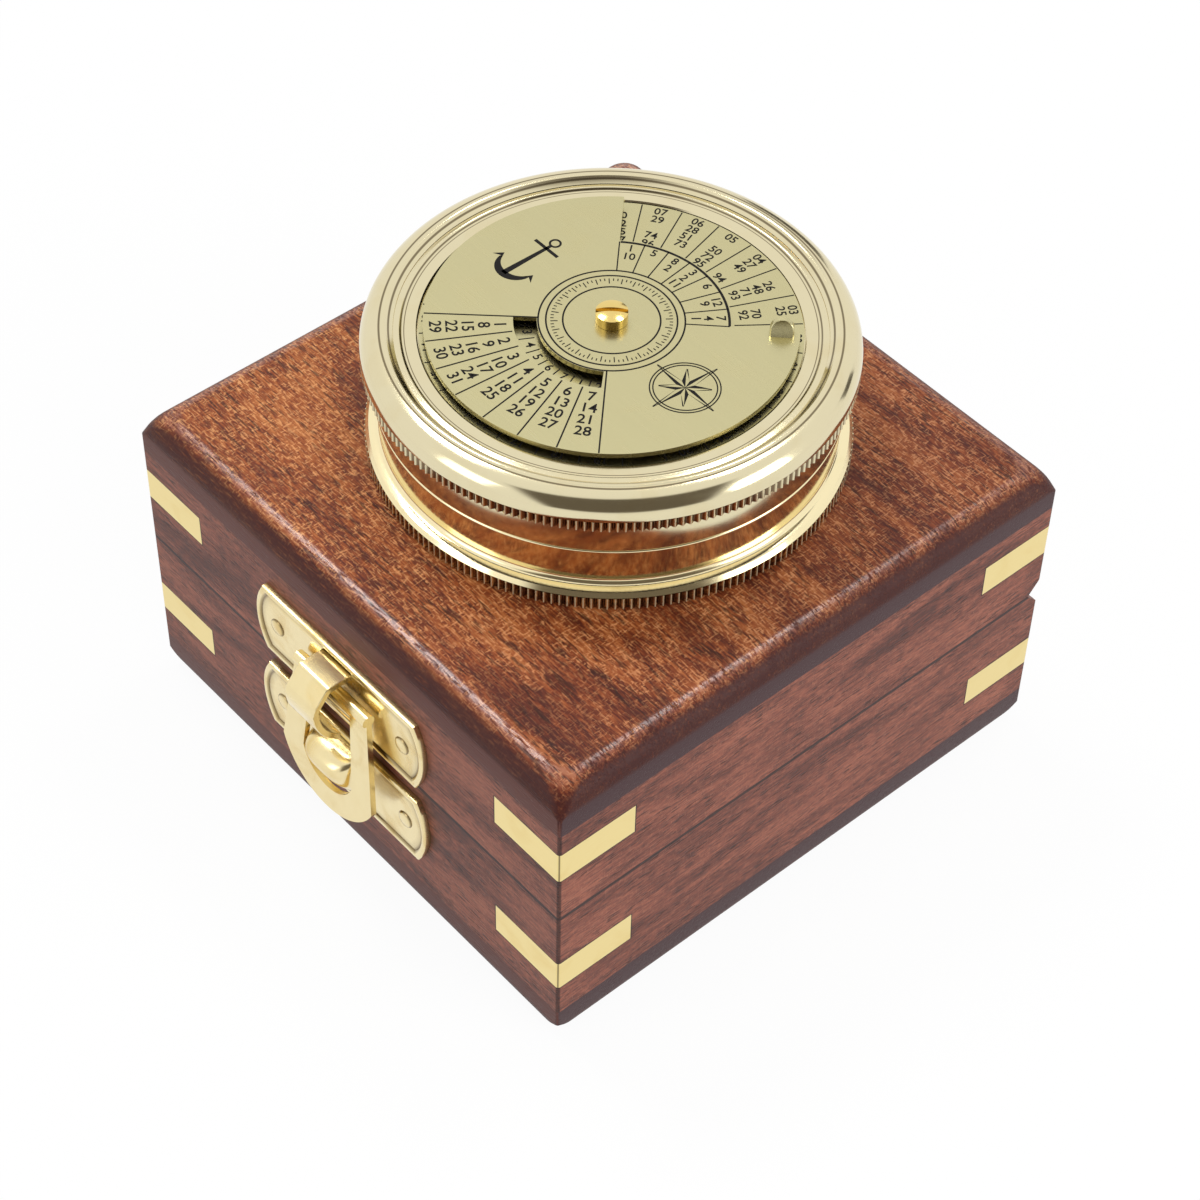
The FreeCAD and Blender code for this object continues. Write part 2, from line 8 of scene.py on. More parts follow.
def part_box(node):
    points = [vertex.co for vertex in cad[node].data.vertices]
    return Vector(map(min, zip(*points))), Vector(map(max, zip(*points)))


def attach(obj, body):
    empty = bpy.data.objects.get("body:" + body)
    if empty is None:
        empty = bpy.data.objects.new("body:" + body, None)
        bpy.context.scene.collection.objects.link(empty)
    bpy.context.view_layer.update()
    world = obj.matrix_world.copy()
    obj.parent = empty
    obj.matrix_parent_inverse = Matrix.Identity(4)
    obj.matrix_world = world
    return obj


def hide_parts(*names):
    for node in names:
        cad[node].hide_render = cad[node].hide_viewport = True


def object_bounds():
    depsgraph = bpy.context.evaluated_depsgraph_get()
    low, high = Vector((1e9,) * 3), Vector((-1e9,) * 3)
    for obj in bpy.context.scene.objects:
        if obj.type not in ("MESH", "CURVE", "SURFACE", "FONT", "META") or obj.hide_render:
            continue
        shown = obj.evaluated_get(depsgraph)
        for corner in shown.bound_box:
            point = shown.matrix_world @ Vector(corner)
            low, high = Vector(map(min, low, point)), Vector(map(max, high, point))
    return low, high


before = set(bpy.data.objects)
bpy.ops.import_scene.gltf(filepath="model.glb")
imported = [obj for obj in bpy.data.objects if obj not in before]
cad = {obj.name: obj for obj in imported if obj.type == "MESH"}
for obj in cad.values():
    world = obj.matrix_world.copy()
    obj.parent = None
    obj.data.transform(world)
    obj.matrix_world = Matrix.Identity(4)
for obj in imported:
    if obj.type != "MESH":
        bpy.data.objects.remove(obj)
cad_low, cad_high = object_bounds()
mm = 0.001


# The view. The camera looks down over the near corner of the wooden case, from as high
# as it is far out, and the calendar fills the middle of the square picture.
def placed(name, data):
    """A new object in the scene."""
    thing = bpy.data.objects.new(name, data)
    bpy.context.scene.collection.objects.link(thing)
    return thing


def way_to(bearing, height_angle):
    """The way out to a bearing and a height in degrees. 0 is towards -Y, 90 towards +X."""
    turn = math.radians(bearing)
    rise = math.radians(height_angle)
    return Vector((math.sin(turn) * math.cos(rise), -math.cos(turn) * math.cos(rise),
                   math.sin(rise)))


camera_bearing = 48.004
camera_height_angle = 47.905
camera_roll = math.radians(1.456)
camera_distance = 480.916 * mm
camera_aim = Vector((0, 0, 40 * mm))
camera_side_step = 0.772 * mm
camera_rise = -12.494 * mm
sensor_width = 36.0
focal_length = 91.862

camera_back = way_to(camera_bearing, camera_height_angle)
level = way_to(camera_bearing + 90, 0)
upright = camera_back.cross(level)
camera_right = math.cos(camera_roll) * level + math.sin(camera_roll) * upright
camera_up = math.cos(camera_roll) * upright - math.sin(camera_roll) * level
camera_place = (camera_aim + camera_back * camera_distance
                + camera_right * camera_side_step + camera_up * camera_rise)

camera_data = bpy.data.cameras.new("product_camera")
camera_data.sensor_width = sensor_width
camera_data.lens = focal_length
camera_data.clip_start = 10 * mm
camera = placed("product_camera", camera_data)
turned_axes = Matrix((camera_right, camera_up, camera_back)).transposed().to_4x4()
camera.matrix_world = Matrix.Translation(camera_place) @ turned_axes
bpy.context.scene.camera = camera
bpy.context.scene.view_settings.view_transform = "Standard"


# The white studio: a pale table under a pale sky, soft lamps, and dark cards for the
# brass to reflect. Node trees are filled through one class, with sums on its sockets.
class Socket:
    """An output of a node. Arithmetic on it adds the maths nodes."""

    def __init__(self, tree, link):
        self.tree = tree
        self.link = link

    def maths(self, operation, *others):
        return self.tree.node("ShaderNodeMath", {"operation": operation},
                              dict(enumerate((self, *others))))

    def __add__(self, other):
        return self.maths("ADD", other)

    def __sub__(self, other):
        return self.maths("SUBTRACT", other)

    def __rsub__(self, other):
        return self.maths("MULTIPLY_ADD", -1.0, other)

    def __mul__(self, other):
        return self.maths("MULTIPLY", other)

    def __abs__(self):
        return self.maths("ABSOLUTE")

    __radd__ = __add__
    __rmul__ = __mul__

    def axis(self, which):
        """One coordinate of a vector."""
        return self.tree.node("ShaderNodeSeparateXYZ", {}, {0: self}, which)

    def rise(self, low, high):
        """0 below low, 1 above high, smooth between; it falls where high is the lower."""
        return self.tree.node("ShaderNodeMapRange", {"interpolation_type": "SMOOTHSTEP"},
                              {"Value": self, "From Min": low, "From Max": high})


class Tree:
    """A node tree that is filled by node type, settings and socket values."""

    def __init__(self, tree):
        self.tree = tree

    def feed(self, made, values):
        """Sets a node's inputs. A list is several links into one input."""
        for name, value in values.items():
            for given in value if isinstance(value, list) else [value]:
                if isinstance(given, Socket):
                    self.tree.links.new(given.link, made.inputs[name])
                else:
                    made.inputs[name].default_value = given

    def node(self, kind, settings=None, values=None, out=0):
        made = self.tree.nodes.new(kind)
        for setting, value in (settings or {}).items():
            if setting == "stops":
                stops = made.color_ramp.elements
                for stop, (place, colour) in zip(stops, (value[0], value[-1])):
                    stop.position = place
                    stop.color = (*colour, 1)
                for place, colour in value[1:-1]:
                    stops.new(place).color = (*colour, 1)
            else:
                setattr(made, setting, value)
        self.feed(made, values or {})
        return Socket(self, made.outputs[out])

    def mix(self, first, second, factor, blend="MIX"):
        """A colour between two colours."""
        first, second = ((*c, 1) if isinstance(c, tuple) else c for c in (first, second))
        return self.node("ShaderNodeMix", {"data_type": "RGBA", "blend_type": blend},
                         {0: factor, 6: first, 7: second}, 2)

    def shows(self, surface):
        self.feed(self.tree.nodes["Material Output"], {"Surface": surface})


white = (1.0, 1.0, 1.0)
sky_level = 0.50
sky = bpy.data.worlds.new("pale_studio")
bpy.context.scene.world = sky
sky.use_nodes = True
sky_tree = Tree(sky.node_tree)


def seen_directly(tree):
    """1 for what the camera, polished metal or glass sees, 0 for light on the object."""
    seen = [tree.node("ShaderNodeLightPath", out="Is " + ray + " Ray")
            for ray in ("Camera", "Glossy", "Transmission")]
    return (seen[0] + seen[1] + seen[2]).maths("MINIMUM", 1.0)


sky_colour = sky_tree.mix((sky_level,) * 3, white, seen_directly(sky_tree))
sky_tree.feed(sky.node_tree.nodes["Background"], {"Color": sky_colour, "Strength": 1.0})


def sheet(name, half_width, half_height, finish_name):
    """A flat rectangle, and the node tree of its material."""
    w = half_width
    h = half_height
    mesh = bpy.data.meshes.new(name)
    mesh.from_pydata([(-w, -h, 0), (w, -h, 0), (w, h, 0), (-w, h, 0)], [], [(0, 1, 2, 3)])
    finish = bpy.data.materials.new(finish_name)
    finish.use_nodes = True
    mesh.materials.append(finish)
    return placed(name, mesh), Tree(finish.node_tree)


table_half = 3.0
table_glow = 0.94
table_colour = (0.90, 0.90, 0.90, 1)
table, table_tree = sheet("table", table_half, table_half, "white_table")
matt = table_tree.node("ShaderNodeBsdfDiffuse", {}, {"Color": table_colour})
glow = table_tree.node("ShaderNodeEmission", {}, {"Color": (*white, 1), "Strength": 1.0})
table_tree.shows(table_tree.node("ShaderNodeMixShader", {}, {
    0: seen_directly(table_tree) * table_glow, 1: matt, 2: glow}))


def aimed(thing, bearing, height_angle, distance):
    """Stands a lamp or a card out at a bearing and a height, facing the object."""
    way = way_to(bearing, height_angle)
    thing.matrix_world = (Matrix.Translation(camera_aim + way * distance)
                          @ way.to_track_quat("Z", "Y").to_matrix().to_4x4())


def softbox(name, bearing, height_angle, distance, width, height, power):
    """A soft lamp aimed at the object."""
    lamp = bpy.data.lights.new(name, "AREA")
    lamp.shape = "RECTANGLE"
    lamp.size = width
    lamp.size_y = height
    lamp.energy = power
    holder = placed(name, lamp)
    aimed(holder, bearing, height_angle, distance)
    return holder


softbox("top_softbox", -86, 60, 1.3, 0.42, 0.30, 4.8)
softbox("back_softbox", -172, 64, 1.3, 0.30, 0.22, 2.2)
softbox("left_softbox", -12, 24, 1.2, 0.45, 0.60, 1.35)
softbox("right_softbox", 112, 24, 1.2, 0.55, 0.62, 4.3)
fill = softbox("fill_softbox", 78, 44, 1.2, 0.7, 0.7, 3.6)
fill.visible_glossy = False
card_plain_share = 0.72


def dark_card(name, bearing, height_angle, distance, width, height, shade):
    """A dark card that only polished metal sees, as it sees the camera's side of a room.
    It turns white towards its edges, so its reflection has none."""
    w = width / 2
    h = height / 2
    card, tree = sheet(name, w, h, name)
    aimed(card, bearing, height_angle, distance)
    place = tree.node("ShaderNodeTexCoord", out="Object")
    edge = abs(place.axis(0)).rise(w * card_plain_share, w).maths(
        "MAXIMUM", abs(place.axis(1)).rise(h * card_plain_share, h))
    colour = tree.mix(shade, white, edge)
    tree.shows(tree.node("ShaderNodeEmission", {}, {"Color": colour, "Strength": 1.0}))
    for ray in ("camera", "diffuse", "shadow", "transmission"):
        setattr(card, "visible_" + ray, False)


dark_card("camera_side_card", 56, 36, 0.9, 1.45, 1.20, (0.15, 0.13, 0.11))
dark_card("back_left_card", -150, 12, 1.4, 0.35, 0.5, (0.12, 0.11, 0.10))
dark_card("back_right_card", 165, 10, 1.4, 0.30, 0.4, (0.12, 0.11, 0.10))


# The wooden case: two shallow boxes of oiled rosewood, each four walls mitred at the
# corners and glued to a board. The boards' edges are rounded over with a router.
class Finish(Tree):
    """A material on the object, with its Principled shader as surface."""

    def __init__(self, name, **constants):
        self.material = bpy.data.materials.new(name)
        self.material.use_nodes = True
        super().__init__(self.material.node_tree)
        self.surface = self.tree.nodes["Principled BSDF"]
        self.feed(self.surface, {k.replace("_", " "): v for k, v in constants.items()})

    @property
    def place(self):
        return self.node("ShaderNodeTexCoord", out="Object")

    @property
    def facing(self):
        return self.node("ShaderNodeTexCoord", out="Normal")

    def speckle(self, place, stretch, detail=2.0, distortion=0.0):
        """Noise with a size of its own along each axis, in specks to a metre."""
        spread = self.node("ShaderNodeVectorMath", {"operation": "MULTIPLY"},
                           {0: place, 1: stretch})
        return self.node("ShaderNodeTexNoise", {},
                         {"Vector": spread, "Scale": 1.0, "Detail": detail,
                          "Distortion": distortion})

    def bump(self, height, depth, strength=1.0):
        """A relief that is depth metres deep where height is 1."""
        relief = self.node("ShaderNodeBump", {}, {"Height": height, "Distance": depth,
                                                  "Strength": strength})
        self.feed(self.surface, {"Normal": relief})


class Rosewood(Finish):
    """Wood whose grain runs along X, or along Y when turn is a right angle. Its tones are
    four from dark to pale and one for the bright flecks, and mottle is how many show."""

    def __init__(self, name, turn, offset, tones, mottle):
        super().__init__(name, Specular_IOR_Level=0.26, Coat_Roughness=0.24)
        grain = self.node("ShaderNodeMapping", {}, {"Vector": self.place, "Location": offset,
                                                    "Rotation": (0, 0, turn)})
        figure = self.speckle(grain, (24, 90, 90), 4.0, 1.6)
        bands = self.speckle(grain, (45, 600, 600), 3.0, 0.6)
        self.fibre = self.speckle(grain, (480, 2800, 2800), 3.0, 0.3)
        tone = figure * 0.58 + bands * 0.36 + self.fibre * 0.66 - 0.30
        self.colour = self.node("ShaderNodeValToRGB",
                                {"stops": list(zip((0.34, 0.46, 0.55, 0.68), tones))},
                                {"Fac": tone})
        strands = self.speckle(grain, (800, 3300, 3300)).rise(0.52, 0.68)
        rays = self.speckle(grain, (3600, 1000, 1000)).rise(0.54, 0.70)
        flecks = (strands + rays) * figure.rise(0.20, 0.60) * mottle
        self.stain(tones[4], flecks.maths("MINIMUM", 1.0))
        pores = self.speckle(grain, (330, 2600, 2600), 1.0, 0.2).rise(0.55, 0.65)
        self.pores = pores * self.speckle(grain, (70, 300, 300)).rise(0.34, 0.58)
        self.stain(tuple(c * 0.25 for c in tones[0]), self.pores * 0.68)

    def stain(self, tone, share):
        """Mixes another tone into the colour."""
        self.colour = self.mix(self.colour, tone, share)

    def oiled(self, polish=0.0):
        """Ends the wood with its half-matt oil, its open pores and any polish."""
        self.feed(self.surface, {"Base Color": self.colour, "Coat Weight": polish,
                                 "Roughness": self.fibre * 0.20 + 0.38})
        self.bump(self.fibre - self.pores, 0.06 * mm, 0.6)
        return self.material


quarter = math.pi / 2
top_tones = ((0.090, 0.013, 0.004), (0.19, 0.036, 0.008), (0.33, 0.080, 0.018),
             (0.50, 0.165, 0.045), (0.72, 0.32, 0.12))
side_tones = ((0.070, 0.018, 0.012), (0.145, 0.040, 0.024), (0.220, 0.064, 0.038),
              (0.31, 0.100, 0.058), (0.42, 0.17, 0.10))
rounded_stain_and_shade = (0.044, 0.007, 0.005)
board_side_tone = (0.12, 0.034, 0.024)
end_grain_tone = (0.052, 0.021, 0.023)
line_tone = (0.022, 0.008, 0.007)
near_shade = (0.66, 0.56, 0.60)
right_shade = (0.66, 0.62, 0.72)
case_half = cad_high.x
seam_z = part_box("lid_front_wall")[0].z
strip_heights = [(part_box(node)[0].z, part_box(node)[1].z)
                 for node in ("lid_corner_inlays", "base_corner_inlays")]
strip_length = 14.3 * mm
edge_line = 0.20 * mm


def wall_wood(name, turn, offset, across):
    """Side wood with dark hairlines at the mitres and round the brass strips, and a painted
    shadow line in the seam.
    The lines lie on the outer face only. Across is the axis along the wall."""
    wood = Rosewood(name, turn, offset, side_tones, 0.30)
    side = abs(wood.place.axis(across))
    height = wood.place.axis(2)
    outside = abs(wood.place.axis(1 - across)).rise(case_half - 2.5 * edge_line,
                                                    case_half - edge_line)
    outside = outside * abs(wood.facing.axis(2)).rise(0.5, 0.1)
    mitre = side.rise(case_half - 3.0 * edge_line, case_half - 1.8 * edge_line)
    # The seam line is painted shadow in the gap between lid and base.
    seam = abs(height - seam_z).rise(2.2 * edge_line, 1.3 * edge_line)
    wood.stain(line_tone, (mitre * 0.75).maths("MAXIMUM", seam * 0.95) * outside)
    strip_end = case_half - strip_length - edge_line
    for low, high in strip_heights:
        middle = (low + high) / 2
        half = (high - low) / 2 + edge_line
        inside = abs(height - middle).rise(half + edge_line / 2, half - edge_line / 2)
        inside = inside * side.rise(strip_end - edge_line / 2, strip_end + edge_line / 2)
        wood.stain(line_tone, inside * outside * 0.95)
    return wood.oiled()


def board_wood(name, offset, tones, mottle):
    """A board whose routed edges are dark, partly stain and partly painted shade, long grain
    along X and end grain at its ends.
    It is darker towards the near and the right-hand corner."""
    wood = Rosewood(name, 0, offset, tones, mottle)
    x = wood.place.axis(0)
    y = wood.place.axis(1)
    shade = wood.mix(white, near_shade, (x - y).rise(0.02, 0.10))
    shade = wood.mix(shade, right_shade, (x + y).rise(-0.01, 0.07))
    wood.colour = wood.mix(wood.colour, shade, 1.0, "MULTIPLY")
    level = abs(wood.facing.axis(2))
    # Routed edges: partly a darker stain, partly painted shade for the dark room they reflect
    # and the shadow under the lower edge.
    rounded = wood.mix(rounded_stain_and_shade, wood.colour, wood.fibre.rise(0.5, 0.8) * 0.22)
    wood.stain(rounded, level.rise(0.96, 0.72) * 0.94)
    end = abs(wood.facing.axis(0)).rise(0.75, 0.95)
    side = wood.mix(wood.mix(board_side_tone, wood.colour, 0.3), end_grain_tone, end)
    wood.stain(side, level.rise(0.24, 0.06))
    return wood.oiled(level.rise(0.9992, 0.985) * level.rise(0.84, 0.95)
                      * wood.fibre.rise(0.36, 0.56))


def dress(node, material):
    """Puts a finish on a CAD piece."""
    slots = cad[node].data.materials
    slots.clear()
    slots.append(material)


def finished(name, mesh, material, body, slot, *replaced):
    """An object of a finished mesh that rides with a body and stands for CAD nodes."""
    mesh.materials.clear()
    mesh.materials.append(material)
    piece = placed(name, mesh)
    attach(piece, body)
    if replaced:
        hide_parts(*replaced)
    return piece


def meshed(name, work, sharp):
    """Ends a bmesh in a smooth mesh, with edges sharper than an angle in degrees kept."""
    bmesh.ops.recalc_face_normals(work, faces=work.faces)
    mesh = bpy.data.meshes.new(name)
    work.to_mesh(mesh)
    work.free()
    mesh.shade_smooth()
    mesh.set_sharp_from_angle(angle=math.radians(sharp))
    return mesh


def skinned(name, rings, grime=None, sharp=35):
    """A closed skin over rings of points, with a face at each end. The optional darkness
    of each ring, from 0 to 1, is painted dirt and shade."""
    work = bmesh.new()
    loops = [[work.verts.new(point) for point in ring] for ring in rings]
    for near, far in zip(loops, loops[1:]):
        for i in range(len(near)):
            j = (i + 1) % len(near)
            work.faces.new((near[i], near[j], far[j], far[i]))
    work.faces.new(loops[0])
    work.faces.new(loops[-1])
    mesh = meshed(name, work, sharp)
    if grime:
        dark = mesh.attributes.new("grime", "FLOAT", "POINT")
        dark.data.foreach_set("value", [g for g, ring in zip(grime, rings) for _ in ring])
    return mesh


lid_round = 4.3 * mm
base_round = 3.5 * mm
upright_round = 0.6 * mm
soft_corner = 3.6 * mm
corner_steps = 10
edge_steps = 12


def board_ring(inset, corner, z):
    """The outline of a board at one height, with its corners rounded."""
    reach = case_half - inset - corner
    points = []
    for k in range(4):
        turn = quarter * (k + 0.5)
        for i in range(corner_steps + 1):
            a = quarter * (k + i / corner_steps)
            points.append((math.copysign(reach, math.cos(turn)) + corner * math.cos(a),
                           math.copysign(reach, math.sin(turn)) + corner * math.sin(a), z))
    return points


def routed_board(name, node, body, edge_round, material):
    """A board whose outer edge is rounded over with a router, all round."""
    low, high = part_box(node)
    way = 1 if body == "lid" else -1
    glued, routed = (low.z, high.z) if way > 0 else (high.z, low.z)
    rings = [board_ring(0, upright_round, glued)]
    for i in range(edge_steps + 1):
        a = quarter * i / edge_steps
        rings.append(board_ring(edge_round * (1 - math.cos(a)),
                                upright_round + soft_corner * math.sin(a) ** 0.7,
                                routed - way * edge_round * (1 - math.sin(a))))
    finished(name, skinned(name, rings), material, body, "rosewood", node)


routed_board("lid_board", "lid_top_board", "lid", lid_round,
             board_wood("lid_board_wood", (0.31, 0.12, 0), top_tones, 0.9))
routed_board("base_board", "base_bottom_board", "case", base_round,
             board_wood("base_board_wood", (0.77, 0.43, 0), side_tones, 0.3))
for half, shift in (("lid", 0.0), ("base", 0.4)):
    for side, turn, across in (("front", 0, 0), ("back", 0, 0), ("left", quarter, 1),
                               ("right", quarter, 1)):
        wall = half + "_" + side + "_wall"
        offset = (shift + 0.13 * len(side), shift + 0.07 * len(side), 0)
        dress(wall, wall_wood(wall + "_wood", turn, offset, across))


# The insert: a plain block of the same wood, a little darker, glued inside the lower
# half and turned out to hold the calendar when it is put away.
nest_tones = tuple(tuple(c * 0.8 for c in tone) for tone in side_tones)
dress("nest_block", board_wood("insert_wood", (0.05, 0.66, 0.2), nest_tones, 0.1))


# Brass: the corner strips, plates, hinges, screws and the calendar's discs. Each finish
# is the same metal with its own colour, polish and direction of brushing.
cup_low, cup_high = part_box("case_cup")
calendar_middle = (cup_low + cup_high) / 2
calendar_middle.z = cup_low.z
groove_shade_tone = (0.16, 0.10, 0.055)
step_shade_tone = (0.14, 0.10, 0.05)
grime_and_shade_tone = (0.13, 0.075, 0.025)
warm_share = (0.86, 0.76, 0.56)


def brass(name, colour, roughness, stretch, wear=0.1, relief=0.004, teeth=None, lines=(),
          corner_line=0):
    """Brass with fine brushing and faint warm patches. Teeth are a radius and a depth
    about the calendar's axis, bright on top, with painted shade in the grooves. Lines are
    the radii and half widths of painted shade lines at the steps. Corner line is how far
    out the mitre between two strips stands."""
    finish = Finish(name, Metallic=1.0)
    place = finish.place
    brushing = finish.speckle(place, stretch, 3.0)
    tarnish = finish.speckle(place, (160, 160, 160), 4.0, 0.6).rise(0.45, 0.8)
    warm = tuple(c * f for c, f in zip(colour, warm_share))
    shade = finish.mix(colour, warm, tarnish * wear * 3 + brushing * wear)
    if teeth or lines:
        out = finish.node("ShaderNodeVectorMath", {"operation": "SUBTRACT"},
                          {0: place, 1: calendar_middle})
        flat = finish.node("ShaderNodeVectorMath", {"operation": "MULTIPLY"},
                           {0: out, 1: (1, 1, 0)})
        reach = finish.node("ShaderNodeVectorMath", {"operation": "LENGTH"}, {0: flat}, 1)
    if teeth:
        radius, depth = teeth
        # Painted shade in the grooves between the teeth.
        groove_shade = reach.rise(radius - depth * 0.15, radius - depth * 0.60)
        shade = finish.mix(shade, groove_shade_tone, groove_shade * 0.92)
        crest = reach.rise(radius - depth * 0.30, radius - depth * 0.05)
        finish.feed(finish.surface, {"Metallic": 1 - crest * 0.45})
    # Painted shade: a dark line at each turned step.
    for radius, width in lines:
        dark = abs(reach - radius * mm).rise(width * mm, width * 0.4 * mm)
        shade = finish.mix(shade, step_shade_tone, dark * 0.85)
    if corner_line:
        near = abs(place.axis(0)).maths("MINIMUM", abs(place.axis(1)))
        mitre = near.rise(corner_line - 0.35 * mm, corner_line - 0.15 * mm)
        shade = finish.mix(shade, line_tone, mitre * 0.9)
    # Painted dirt and shade from each piece's darkness attribute: the plates' edges and rim
    # hollows, the nail heads' edges.
    grime = finish.node("ShaderNodeAttribute", {"attribute_name": "grime"}, out=2)
    shade = finish.mix(shade, grime_and_shade_tone, grime * 0.85)
    finish.feed(finish.surface, {"Base Color": shade,
                                 "Roughness": brushing * 0.08 + tarnish * wear * 0.5
                                 + (roughness - 0.04)})
    finish.bump(brushing, relief * mm)
    return finish.material


strip_brass = brass("strip_brass", (0.88, 0.72, 0.33), 0.36, (300, 300, 2600), 0.10,
                    corner_line=case_half)
for node in ("lid_corner_inlays", "base_corner_inlays"):
    dress(node, strip_brass)

latch_brass = brass("latch_brass", (0.87, 0.74, 0.43), 0.20, (420, 420, 420), 0.30, 0.012)
dress("hasp", latch_brass)

hinge_brass = brass("hinge_brass", (0.80, 0.64, 0.30), 0.22, (200, 1800, 1800), 0.2)
screw_brass = brass("screw_brass", (0.82, 0.62, 0.22), 0.14, (900, 900, 900), 0.08)
for node in cad:
    if "hinge_" in node:
        dress(node, screw_brass if node.endswith("screws") else hinge_brass)
for node in ("pivot_screw", "pivot_nut", "dial_spacer"):
    dress(node, screw_brass)


# The latch: two plates stamped from brass sheet, each with a raised rim and two nails.
# The upper one carries a strap curled over the hasp's bar, the lower one the catch.
def in_front(x, reach, z):
    """A point that stands so far out of the front of the case, from millimetres."""
    return Vector((x * mm, -case_half - reach * mm, z * mm))


def arc(middle, radius, start, end, steps):
    """Points on an arc in the plane of a profile, in degrees from outwards to upwards."""
    angles = [math.radians(start + (end - start) * i / steps) for i in range(steps + 1)]
    return [(middle[0] + radius * math.cos(a), middle[1] + radius * math.sin(a))
            for a in angles]


def baked(holder):
    """The mesh of an object after its modifiers. The object itself goes."""
    graph = bpy.context.evaluated_depsgraph_get()
    mesh = bpy.data.meshes.new_from_object(holder.evaluated_get(graph))
    bpy.data.objects.remove(holder)
    return mesh


def shaped(mesh, kind, settings):
    """The mesh after one modifier."""
    holder = placed("holder", mesh)
    modifier = holder.modifiers.new("shaped", kind)
    for setting, value in settings.items():
        setattr(modifier, setting, value)
    return baked(holder)


def merged(name, meshes):
    """One mesh of several."""
    work = bmesh.new()
    for mesh in meshes:
        work.from_mesh(mesh)
    whole = bpy.data.meshes.new(name)
    work.to_mesh(whole)
    work.free()
    return whole


plate_half = 20.3
end_bulge = 2.0
plate_skin = ((0.0, 0.0, 0.6), (0.0, 0.85, 0.2), (0.1, 1.02, 0), (0.3, 1.1, 0), (0.75, 1.1, 0),
              (0.95, 1.0, 0.6), (1.15, 0.78, 1.0), (1.5, 0.8, 0.3), (2.4, 0.8, 0))


def stamped_plate(name, node):
    """A long plate with bulging ends. Its skin is inset, reach and darkness, ring by ring;
    the darkness is painted dirt and shade at the plate's edge and in the hollow inside its rim.
    """
    low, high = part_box(node)
    middle = (low.z + high.z) / 2 / mm
    rings = []
    for inset, reach, grime in plate_skin:
        tall = (high.z - low.z) / 2 / mm - inset
        radius = (tall * tall + end_bulge * end_bulge) / (2 * end_bulge)
        swing = math.degrees(math.asin(tall / radius))
        end = arc((plate_half - inset - radius, 0), radius, -swing, swing, 12)
        rings.append([in_front(x * side, reach, middle + z * side) for side in (1, -1)
                      for x, z in end])
    return skinned(name, rings, [grime for inset, reach, grime in plate_skin])


nail_skin = ((1.55, 0.6, 1), (1.55, 0.84, 1), (1.42, 0.98, 0.75), (1.25, 1.08, 0.1),
             (0.8, 1.14, 0), (0.3, 1.16, 0))
nail_steps = 28


def nails(name, plate_node, node, body):
    """Flat nail heads with painted dirt and shade round their edges. Their skin is radius,
    reach and darkness.
    """
    low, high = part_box(node)
    plate_low, plate_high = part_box(plate_node)
    z = (plate_low.z + plate_high.z) / 2 / mm
    x = high.x / mm - (high.z - low.z) / 2 / mm
    angles = [2 * math.pi * i / nail_steps for i in range(nail_steps)]
    heads = []
    for side in (-1, 1):
        rings = [[in_front(side * x + radius * math.cos(a), reach, z + radius * math.sin(a))
                  for a in angles] for radius, reach, grime in nail_skin]
        heads.append(skinned(name, rings, [grime for radius, reach, grime in nail_skin]))
    finished(name, merged(name, heads), latch_brass, body, "latch_brass", node)


strap_half = 3.5
strap_thickness = 1.1
strap_top = 43.9
slot_half = 3.8
slot_height = 0.9


def strap_side(inward):
    """One face of the strap from its slot over the bar and down, as (reach, height)."""
    return ([(0.4, strap_top - inward)] + arc((4.7, 42.55), 1.35 - inward, 90, 40, 6)
            + arc((5.45, 39.47), 2.75 - inward, 40, 0, 6)
            + arc((-1.4, 39.47), 9.6 - inward, 0, -56, 14))


strap_section = strap_side(0) + strap_side(strap_thickness)[::-1]
strap = skinned("strap", [[in_front(x, reach, z) for reach, z in strap_section]
                          for x in (-strap_half, strap_half)])
strap = shaped(strap, "BEVEL", {"width": 0.16 * mm, "segments": 2, "angle_limit": 0.8})
slot_outline = ((-slot_half, strap_top), (slot_half, strap_top),
                (slot_half, strap_top + slot_height), (-slot_half, strap_top + slot_height))
cutter = placed("slot", skinned("slot", [[in_front(x, reach, z) for x, z in slot_outline]
                                         for reach in (0.3, 2.0)]))
slotted = shaped(stamped_plate("slotted", "latch_plate"), "BOOLEAN",
                 {"object": cutter, "operation": "DIFFERENCE", "solver": "EXACT"})
bpy.data.objects.remove(cutter)
finished("latch_top", merged("latch_top", [slotted, strap]), latch_brass, "lid", "latch_brass",
         "latch_plate")

nose_profile = ((26.4, 0.9, 4.6), (26.2, 2.2, 5.1), (25.9, 3.5, 5.3), (25.4, 4.7, 5.4),
                (24.6, 5.6, 5.4), (23.6, 5.95, 5.4), (22.2, 5.65, 5.35), (20.6, 4.9, 5.2),
                (19.0, 3.8, 4.9), (17.4, 2.5, 4.4), (16.1, 1.3, 3.9), (15.6, 0.6, 3.5))
nose_foot = 0.4
nose_lift = 0.01
nose_steps = 28
squareness = 2 / 3.2
nose_rings = []
for z, reach, half in nose_profile:
    ring = [in_front(-half, nose_foot, z), in_front(half, nose_foot, z)]
    spring = nose_foot + nose_lift
    for i in range(nose_steps + 1):
        a = math.pi * i / nose_steps
        ring.append(in_front(half * math.copysign(abs(math.cos(a)) ** squareness, math.cos(a)),
                             spring + (reach - spring) * math.sin(a) ** squareness, z))
    nose_rings.append(ring)
catch = shaped(skinned("catch", nose_rings), "SUBSURF", {"levels": 1, "render_levels": 1})
finished("latch_catch", merged("latch_catch", [stamped_plate("lower", "catch_plate"), catch]),
         latch_brass, "case", "latch_brass", "catch_plate")
nails("lid_nails", "latch_plate", "latch_plate_nails", "lid")
nails("case_nails", "catch_plate", "catch_plate_nails", "case")


